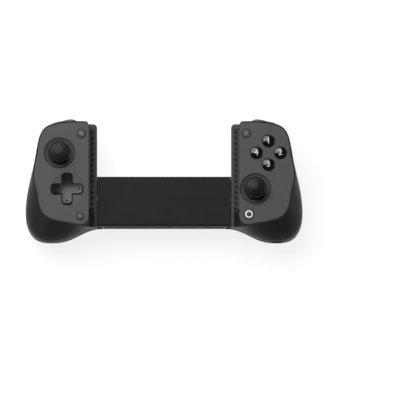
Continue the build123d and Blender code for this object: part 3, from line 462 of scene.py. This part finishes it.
def polyimideFilm():
    # polyimide flat cable: amber, smooth, its tracks show as fine lines along it
    look = filmLook
    material, tree, place = newFinish("polyimide_film")
    tracks = addNode(tree, "ShaderNodeTexWave", {"Scale": look["trackScale"], "bands_direction": "Y"},
                     {"Vector": place})
    closeFinish(tree, place, look, tracks.outputs["Fac"])
    return material


inkLook = {
    "white": ("dedede", "e8e8e8"), "grey": ("767879", "7e8081"), "patch": 0.6 * mm,
    "roughness": (0.35, 0.5), "wear": 1 * mm, "ior": 1.5,
}


def padInk(shade):
    # pad-printed ink: a flat film a few hundredths thick, slightly uneven
    look = inkLook
    material, tree, place = newFinish("pad_printed_ink_" + shade)
    closeFinish(tree, place, look, colour=mottle(tree, place, look["patch"], *look[shade]))
    return material


finishes = {
    "shell": sparkAbs(), "plate": satinPaint(), "gloss_black": polishedPolycarbonate(),
    "key_grey": keyAbs("moulded_abs_fine_grain", darkKeyLook), "stick_rubber": stickRubber(),
    "ring_plastic": ringAcetal(), "palm_rubber": palmRubber(), "liner_rubber": linerSilicone(),
    "bridge_plastic": glassFilledNylon(), "bar_plastic": blackAcetal(), "gear_plastic": naturalAcetal(),
    "steel": zincPlatedSteel(), "board": epoxyBoard(), "silicone": milkySilicone(),
    "cell": foilPouch(), "film": polyimideFilm(),
}
whiteInk, greyInk = padInk("white"), padInk("grey")
greyKeys = keyAbs("moulded_abs_small_keys", greyKeyLook)
blackTapeAndPitShade = tapeFoam()
slotOf = {entry["node"]: entry["material_slot"] for entry in frame["record"]["subparts"]}
for name, part in nodes.items():
    part.data.materials.clear()
    part.data.materials.append(greyKeys if name in greyKeyLook["keys"] else finishes[slotOf[name]])
print("finishes made")


# Pieces

def newPiece(name, mesh, body, finish, replaced=()):
    piece = bpy.data.objects.new(name, mesh)
    scene.collection.objects.link(piece)
    piece.data.materials.clear()
    piece.data.materials.append(finish)
    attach(piece, body)
    if replaced:
        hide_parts(*replaced)


def endMesh(work, name):
    # closes an edit: faces turn outwards and the result becomes a mesh
    bmesh.ops.recalc_face_normals(work, faces=work.faces)
    mesh = bpy.data.meshes.new(name)
    work.to_mesh(mesh)
    work.free()
    return mesh


def topOf(name):
    # middle of a node and the height of its top
    low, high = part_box(name)
    return (low + high) / 2, high.z


def domeHeight(look, top, x, y):
    # height of a key's domed top over a point off its axis
    ball = (look["radius"] ** 2 + look["dome"] ** 2) / (2 * look["dome"])
    return top - ball + sqrt(ball * ball - x * x - y * y)


def gridCut(work, step, reach):
    # cuts flat faces into small cells so that they can follow a curved top
    count = int(reach / step) + 1
    for axis in ((1, 0, 0), (0, 1, 0)):
        for i in range(-count, count + 1):
            geometry = work.verts[:] + work.edges[:] + work.faces[:]
            bmesh.ops.bisect_plane(work, geom=geometry, plane_co=Vector(axis) * step * i, plane_no=axis)


def laidOnDome(work, look, button):
    # wraps a flat print onto a key's dome: it stands up by the film's thickness and sinks in by half of that
    centre, top = topOf(button)
    gridCut(work, look["cell"], look["radius"])
    for vert in work.verts:
        vert.co.z = domeHeight(look, top, vert.co.x, vert.co.y) + look["film"]
    raised = bmesh.ops.extrude_face_region(work, geom=work.faces[:])
    for item in raised["geom"]:
        if isinstance(item, bmesh.types.BMVert):
            item.co.z -= look["film"] * 1.5
    bmesh.ops.translate(work, verts=work.verts, vec=(centre.x, centre.y, 0))
    return endMesh(work, "print")


numberLook = {
    "numbers": (1, 2, 3, 4),
    "height": 4.3 * mm,       # height of a printed number
    "tall": 0.69,             # a number is this much of the letter size high
    "bold": 0.010,            # thickens the strokes, in units of the letter size
    "curve": 6,               # steps of a curved stroke
    "radius": 4.8 * mm,       # of the button
    "dome": 1.3 * mm,         # rise of its dome over the straight wall
    "cell": 0.35 * mm, "film": 0.04 * mm,
}


def numberPrint(number, button):
    look = numberLook
    text = bpy.data.curves.new("number", "FONT")
    text.body = str(number)
    text.size = look["height"] / look["tall"]
    text.align_x, text.align_y = "CENTER", "CENTER"
    text.offset = look["bold"] * text.size
    text.resolution_u = look["curve"]
    holder = bpy.data.objects.new("number", text)
    scene.collection.objects.link(holder)
    bpy.context.view_layer.update()
    flat = bpy.data.meshes.new_from_object(holder.evaluated_get(bpy.context.evaluated_depsgraph_get()))
    bpy.data.objects.remove(holder)
    work = bmesh.new()
    work.from_mesh(flat)
    bpy.data.meshes.remove(flat)
    xs, ys = [v.co.x for v in work.verts], [v.co.y for v in work.verts]
    middle = (-(min(xs) + max(xs)) / 2, -(min(ys) + max(ys)) / 2, 0)
    bmesh.ops.translate(work, verts=work.verts, vec=middle)
    newPiece("number_" + str(number), laidOnDome(work, look, button), button, whiteInk)


for number in numberLook["numbers"]:
    numberPrint(number, "face_button_" + str(number))


keyMarkLook = {
    "radius": 3.3 * mm, "captureRadius": 2.75 * mm, "dome": 0.3 * mm, "cell": 0.5 * mm, "film": 0.03 * mm,
    "line": 0.46 * mm,        # printed line
    "barLength": 2.9 * mm, "barPitch": 1.05 * mm,
    "square": 2.0 * mm, "captureSquare": 1.7 * mm,
    "shift": 0.55 * mm,       # of the two squares off the middle of the view key
}


def box2d(x0, y0, x1, y1):
    return [(x0, y0), (x1, y0), (x1, y1), (x0, y1)]


def squareFrame(x, y, side, line):
    # four bars that make an open square: top, bottom, left and right
    a, b = side / 2, side / 2 - line
    return [box2d(x - a, y + b, x + a, y + a), box2d(x - a, y - a, x + a, y - b),
            box2d(x - a, y - b, x - b, y + b), box2d(x + b, y - b, x + a, y + b)]


def keyMark(name, button, rings, look):
    # a print from flat faces, each closed run of points one face
    work = bmesh.new()
    for ring in rings:
        work.faces.new([work.verts.new((x, y, 0)) for x, y in ring])
    newPiece(name, laidOnDome(work, look, button), button, greyInk)


def keyMarks():
    look = keyMarkLook
    line, side, s = look["line"], look["square"], look["shift"]
    long, half = look["barLength"] / 2, line / 2
    rows = [i * look["barPitch"] for i in (-1, 0, 1)]
    keyMark("menu_mark", "menu_button", [box2d(-long, y - half, long, y + half) for y in rows], look)
    # an open square in front of a second one, of which only the bottom and the sides' ends show
    edge = side / 2
    squares = squareFrame(-s, s, side, line) + squareFrame(s, -s, side, line)[1:2]
    squares += [box2d(s + edge - line, -s - edge + line, s + edge, -s + edge),
                box2d(-s + edge, -s + edge - line, s + edge - line, -s + edge),
                box2d(s - edge, -s - edge + line, s - edge + line, s - edge)]
    keyMark("view_mark", "view_button", squares, look)
    keyMark("capture_mark", "capture_button", squareFrame(0, 0, look["captureSquare"], line),
            {**look, "radius": look["captureRadius"]})


keyMarks()

homeRingLook = {
    "radius": 3.75 * mm, "dome": 0.3 * mm, "film": 0.03 * mm,
    "cell": 3.75 * mm,        # the ring has points enough of its own and needs no finer cut
    "circles": (1.9 * mm, 2.5 * mm, 3.1 * mm),      # inner edge, middle and outer edge of the print
    "steps": 48,
}


def homeRing():
    # plain printed ring on the home key
    look = homeRingLook
    count = look["steps"]
    turns = [2 * pi * i / count for i in range(count)]
    work = bmesh.new()
    rings = [[work.verts.new((radius * cos(turn), radius * sin(turn), 0)) for turn in turns]
             for radius in look["circles"]]
    for inner, outer in zip(rings, rings[1:]):
        for i in range(count):
            j = (i + 1) % count
            work.faces.new((inner[i], outer[i], outer[j], inner[j]))
    newPiece("home_ring_mark", laidOnDome(work, look, "home_button"), "home_button", whiteInk)


homeRing()


def ribbedTurn(work, centre, look, radius, height, inward=0.0, downward=0.0):
    # one turn of points round an upright axis, ribs pull it inwards or downwards
    loop = []
    count = look["ribs"] * look["stepsPerRib"]
    for i in range(count):
        turn = 2 * pi * i / count
        wave = 0.5 - 0.5 * cos(turn * look["ribs"])
        reach = radius - inward * wave
        loop.append(work.verts.new((centre.x + reach * cos(turn), centre.y + reach * sin(turn),
                                    height - downward * wave)))
    return loop


def joinTurns(work, lower, upper):
    # faces between two turns, of which one may be a single point
    count = max(len(lower), len(upper))
    for i in range(count):
        j = (i + 1) % count
        if len(lower) == 1:
            work.faces.new((lower[0], upper[j], upper[i]))
        elif len(upper) == 1:
            work.faces.new((lower[i], lower[j], upper[0]))
        else:
            work.faces.new((lower[i], lower[j], upper[j], upper[i]))


capLook = {
    # outline of the stick from its foot to the middle of its top: distance from the axis and height in mm
    "outline": ((0, 26.4), (1.5, 26.4), (1.5, 35.4), (3.2, 37.5), (3.2, 45.1), (7.14, 46.6), (7.9, 46.75),
                (8.2, 46.95), (8.3, 47.2), (8.28, 47.5), (8.1, 47.95), (7.75, 48.4), (7.2, 48.85),
                (6.5, 49.2), (5.8, 49.42), (5.2, 49.5), (4.98, 49.52), (4.86, 49.62), (4.8, 49.85),
                (4.65, 50.0), (4.3, 50.13), (3.5, 50.32), (2.5, 50.47), (1.3, 50.57), (0, 50.6)),
    "ribs": 48, "ribDepth": 0.12 * mm,       # shallow grip ribs round the brow
    "ribFrom": 46.9, "ribTo": 48.9,          # heights in mm between which they run
    "stepsPerRib": 6,
    "smooth": 32,                            # edges sharper than this many degrees stay sharp
}


def stickCap(side):
    # domed disc on a ribbed brow that falls off to the cap's edge
    look = capLook
    node = side + "_stick_cap"
    centre = topOf(node)[0]
    work = bmesh.new()
    turns = []
    for radius, height in look["outline"]:
        if radius == 0:
            turns.append([work.verts.new((centre.x, centre.y, height * mm))])
        else:
            rib = look["ribDepth"] if look["ribFrom"] < height < look["ribTo"] else 0.0
            turns.append(ribbedTurn(work, centre, look, radius * mm, height * mm, inward=rib))
    for lower, upper in zip(turns, turns[1:]):
        joinTurns(work, lower, upper)
    mesh = endMesh(work, node + "_ribbed")
    mesh.polygons.foreach_set("use_smooth", [True] * len(mesh.polygons))
    mesh.set_sharp_from_angle(angle=radians(look["smooth"]))
    newPiece(node + "_ribbed", mesh, node, finishes["stick_rubber"], (node,))


wearRingLook = {
    "bore": 8.9 * mm, "outer": 11.3 * mm,
    "low": 0.5 * mm, "high": 1.5 * mm,      # over the ring's foot, at the bore and at the outer edge
    "ribs": 72, "ribDepth": 0.16 * mm, "stepsPerRib": 6,
    # section: how far across, how far up, and 1 where the ribs are
    "section": ((0.0, 0.0, 0), (0.0, 1.0, 0), (0.12, 1.0, 0), (0.2, 1.0, 1), (0.82, 1.0, 1), (0.88, 1.0, 0),
                (1.0, 1.0, 0), (1.0, 0.0, 0)),
}


def wearRing(side):
    # funnel-shaped ring round a stick, with fine radial ribs between two plain rims
    look = wearRingLook
    node = side + "_stick_ring"
    centre = topOf(node)[0]
    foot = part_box(node)[0].z
    work = bmesh.new()
    turns = []
    for across, up, ribbed in look["section"]:
        radius = look["bore"] + (look["outer"] - look["bore"]) * across
        height = foot + up * (look["low"] + (look["high"] - look["low"]) * across)
        turns.append(ribbedTurn(work, centre, look, radius, height, downward=look["ribDepth"] * ribbed))
    for lower, upper in zip(turns, turns[1:] + turns[:1]):
        joinTurns(work, lower, upper)
    mesh = endMesh(work, node + "_ribbed")
    newPiece(node + "_ribbed", mesh, side + "_grip", finishes["ring_plastic"], (node,))


def foamStrip(side, name, spans):
    # plain die-cut strip, each span counted from the middle of the part outwards
    mirror = 1 if side == "right" else -1
    work = bmesh.new()
    bmesh.ops.create_cube(work, size=1)
    for vert in work.verts:
        x, y, z = [a + (b - a) * (c + 0.5) for (a, b), c in zip(spans, vert.co)]
        vert.co = (mirror * x, y, z)
    newPiece(name, endMesh(work, name), side + "_grip", blackTapeAndPitShade)


linerStripLook = {
    "wall": 0.9 * mm, "floor": 1.0 * mm,    # thickness beside the phone and under it
    "tape": 0.05 * mm, "inset": 0.05 * mm,  # the tape's thickness and how far it stays back from the edge
    "pits": 15, "pitch": 4.25 * mm,
    "down": 0.4 * mm,                       # the row sits this much below the middle of the strip
    "pitWidth": 2.15 * mm, "pitHeight": 2.1 * mm,
    "rim": 0.12 * mm,                       # rubber left between a pit and the lip
    "weld": 0.001 * mm,                     # points closer than this become one
}


def linerStrip(side):
    # rubber angle with a row of triangular pits, stuck down with black tape that shows at their foot: that
    # soot-black foot is painted shade for deep pits
    look = linerStripLook
    node = side + "_liner"
    low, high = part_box(node)
    mirror = 1 if side == "right" else -1
    inner, outer = (low.x, high.x) if side == "right" else (-high.x, -low.x)
    wall = outer - look["wall"]
    under, floor, top = low.z + look["tape"], low.z + look["floor"], high.z
    left = inner + look["rim"]
    right = left + look["pitWidth"]
    middle = (low.y + high.y) / 2 - look["down"]
    rows = [middle + (i - (look["pits"] - 1) / 2) * look["pitch"] for i in range(look["pits"])]
    cuts = [low.y] + [(a + b) / 2 for a, b in zip(rows, rows[1:])] + [high.y]
    work = bmesh.new()

    def face(*points):
        work.faces.new([work.verts.new((mirror * x, y, z)) for x, y, z in points])

    # one length of the strip for each pit: the flat round it, its walls, and the strip's own sides
    for row, start, end in zip(rows, cuts, cuts[1:]):
        near, far = row - look["pitHeight"] / 2, row + look["pitHeight"] / 2
        pit = ((left, far), (right, far), (right, near))
        flat = (((inner, end), (wall, end), pit[1], pit[0]), ((wall, end), (wall, start), pit[2], pit[1]),
                ((inner, start), (wall, start), pit[2]), ((inner, start), pit[2], pit[0]),
                ((inner, start), pit[0], (inner, end)))
        for z in (under, floor):
            for ring in flat:
                face(*[(x, y, z) for x, y in ring])
        for (x0, y0), (x1, y1) in zip(pit, pit[1:] + pit[:1]):
            face((x0, y0, under), (x1, y1, under), (x1, y1, floor), (x0, y0, floor))
        sides = (((inner, under), (inner, floor)), ((wall, floor), (wall, top)), ((wall, top), (outer, top)),
                 ((outer, top), (outer, under)), ((outer, under), (wall, under)))
        for (x0, z0), (x1, z1) in sides:
            face((x0, start, z0), (x1, start, z1), (x1, end, z1), (x0, end, z0))
    for y in (low.y, high.y):
        face((inner, y, under), (inner, y, floor), (wall, y, floor), (wall, y, under))
        face((wall, y, under), (wall, y, floor), (wall, y, top), (outer, y, top), (outer, y, under))
    bmesh.ops.remove_doubles(work, verts=work.verts, dist=look["weld"])
    mesh = endMesh(work, node + "_pitted")
    newPiece(node + "_pitted", mesh, side + "_grip", finishes["liner_rubber"], (node,))

    edge = look["inset"]
    # the tape's soot black at the pits' foot is painted shade
    foamStrip(side, node + "_tape",
              ((inner + edge, wall), (low.y + edge, high.y - edge), (low.z, low.z + look["tape"])))


closeStopLook = {
    "lip": 2.1 * mm,          # from the liner to the grip's inner wall
    "air": 0.05 * mm,         # left between the pad and the closed bridge
    "inset": 0.4 * mm,        # how far the pad stays inside the bridge's outline
}


def closeStop(side):
    # thin foam pad on the grip's inner wall: the bridge's end closes against it
    look = closeStopLook
    liner, behind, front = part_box(side + "_liner"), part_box("bridge_rear_cover"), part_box("bridge_front_cover")
    wall = min(abs(liner[0].x), abs(liner[1].x)) - look["lip"]
    edge = look["inset"]
    foamStrip(side, side + "_close_stop",
              ((front[1].x + look["air"], wall), (front[0].y + edge, front[1].y - edge),
               (behind[0].z + edge, front[1].z - edge)))


for side in ("left", "right"):
    stickCap(side)
    wearRing(side)
    linerStrip(side)
    closeStop(side)
print("pieces made")

# Floor, lights and camera

floorLook = {
    "colour": "8c8c8c",
    "lift": 0.84,             # how bright that light of its own is
    # the paper lies flat and rises all round: distance from the middle and height in metres
    "sweep": ((3.6, 0.0), (4.4, 0.12), (5.1, 0.5), (5.6, 1.1), (5.9, 1.9), (6.0, 3.0)),
    "under": 0.5,             # depth of a second sheet, for a low eye that looks in below the table's edge
    "steps": 64,
}


def seenRays(tree):
    # 1 for rays that look at the background, straight, mirrored or through something clear
    rays = addNode(tree, "ShaderNodeLightPath")
    seen = addNode(tree, "ShaderNodeMath", {"operation": "MAXIMUM"},
                   {0: rays.outputs["Is Camera Ray"], 1: rays.outputs["Is Transmission Ray"]})
    return addNode(tree, "ShaderNodeMath", {"operation": "MAXIMUM"},
                   {0: seen.outputs[0], 1: rays.outputs["Is Glossy Ray"]}).outputs[0]


def mattPaper():
    # matt white paper: the eye and mirrored rays see some light of its own, the shadow on it stays
    look = floorLook
    material, tree = newFinish("matt_paper")[:2]
    lift = addNode(tree, "ShaderNodeMath", {"operation": "MULTIPLY", 1: look["lift"]}, {0: seenRays(tree)})
    paper = addNode(tree, "ShaderNodeBsdfDiffuse", {"Color": toLinear(look["colour"])})
    glow = addNode(tree, "ShaderNodeEmission", {"Color": (1, 1, 1, 1)}, {"Strength": lift.outputs[0]})
    both = addNode(tree, "ShaderNodeAddShader", links={0: paper.outputs[0], 1: glow.outputs[0]})
    addNode(tree, "ShaderNodeOutputMaterial", links={"Surface": both.outputs[0]})
    return material


def paperFloor():
    look = floorLook
    count = look["steps"]
    turns = [2 * pi * i / count for i in range(count)]
    points = [(0, 0, 0)]
    for radius, height in look["sweep"]:
        points += [(radius * cos(turn), radius * sin(turn), height) for turn in turns]
    faces = [(0, 1 + i, 1 + (i + 1) % count) for i in range(count)]
    for ring in range(len(look["sweep"]) - 1):
        low, high = 1 + ring * count, 1 + (ring + 1) * count
        faces += [(low + i, high + i, high + (i + 1) % count, low + (i + 1) % count) for i in range(count)]
    under = len(points)
    points += [(x, y, -look["under"]) for x, y, _ in points[:1] + points[-count:]]
    faces += [(under, under + 1 + (i + 1) % count, under + 1 + i) for i in range(count)]
    mesh = bpy.data.meshes.new("floor")
    mesh.from_pydata(points, [], faces)
    mesh.polygons.foreach_set("use_smooth", [True] * len(faces))
    mesh.materials.append(mattPaper())
    floor = bpy.data.objects.new("floor", mesh)
    scene.collection.objects.link(floor)


paperFloor()

roomLook = {"colour": (1, 1, 1, 1), "glow": 0.10}      # faint even light from the walls of the room

room = bpy.data.worlds.new("room")
room.use_nodes = True
walls = room.node_tree.nodes["Background"]
walls.inputs["Color"].default_value = roomLook["colour"]
walls.inputs["Strength"].default_value = roomLook["glow"]
scene.world = room

# places and sizes in metres, glow is how bright the panel looks: 1 is white
lampLook = {
    # a ceiling panel up and to the left: its near corner ends just past the middle of the domed keys
    "ceiling": {"at": (-0.625, 0.865, 1.24), "aim": (-0.625, 0.865, 0.0), "size": (1.65, 1.47), "glow": 4.2},
    "right": {"at": (1.40, 0.05, 0.24), "aim": (0.08, 0.0, 0.03), "size": (0.50, 0.36), "glow": 4.0},
    "left": {"at": (-1.00, -1.00, 0.40), "aim": (-0.08, -0.03, 0.03), "size": (0.40, 0.36), "glow": 5.0},
}


def softLamp(name, look):
    lamp = bpy.data.lights.new(name, "AREA")
    lamp.shape = "RECTANGLE"
    lamp.size, lamp.size_y = look["size"]
    lamp.energy = look["glow"] * pi * lamp.size * lamp.size_y
    holder = bpy.data.objects.new(name, lamp)
    holder.location = look["at"]
    holder.rotation_euler = (Vector(look["aim"]) - Vector(look["at"])).to_track_quat("-Z", "Y").to_euler()
    scene.collection.objects.link(holder)


for name, look in lampLook.items():
    softLamp(name + "_lamp", look)

cameraLook = {
    "elevation": 80.0,        # degrees above the floor
    "distance": 3.0,
    "width": 308.0 * mm,      # what the picture shows from side to side
    "aim": (27.64 * mm, -17.16 * mm, 41.5 * mm),
    "near": 0.1, "far": 20.0,
}


def makeCamera():
    look = cameraLook
    rise = radians(look["elevation"])
    back = Vector((0, -cos(rise), sin(rise)))
    data = bpy.data.cameras.new("camera")
    data.type = "ORTHO"       # the picture is a long-lens one without visible perspective
    data.ortho_scale = look["width"]
    data.clip_start, data.clip_end = look["near"], look["far"]
    camera = bpy.data.objects.new("camera", data)
    camera.location = Vector(look["aim"]) + back * look["distance"]
    camera.rotation_euler = (-back).to_track_quat("-Z", "Y").to_euler()
    scene.collection.objects.link(camera)
    scene.camera = camera


makeCamera()
scene.view_settings.view_transform = "Standard"
print("stage ready")
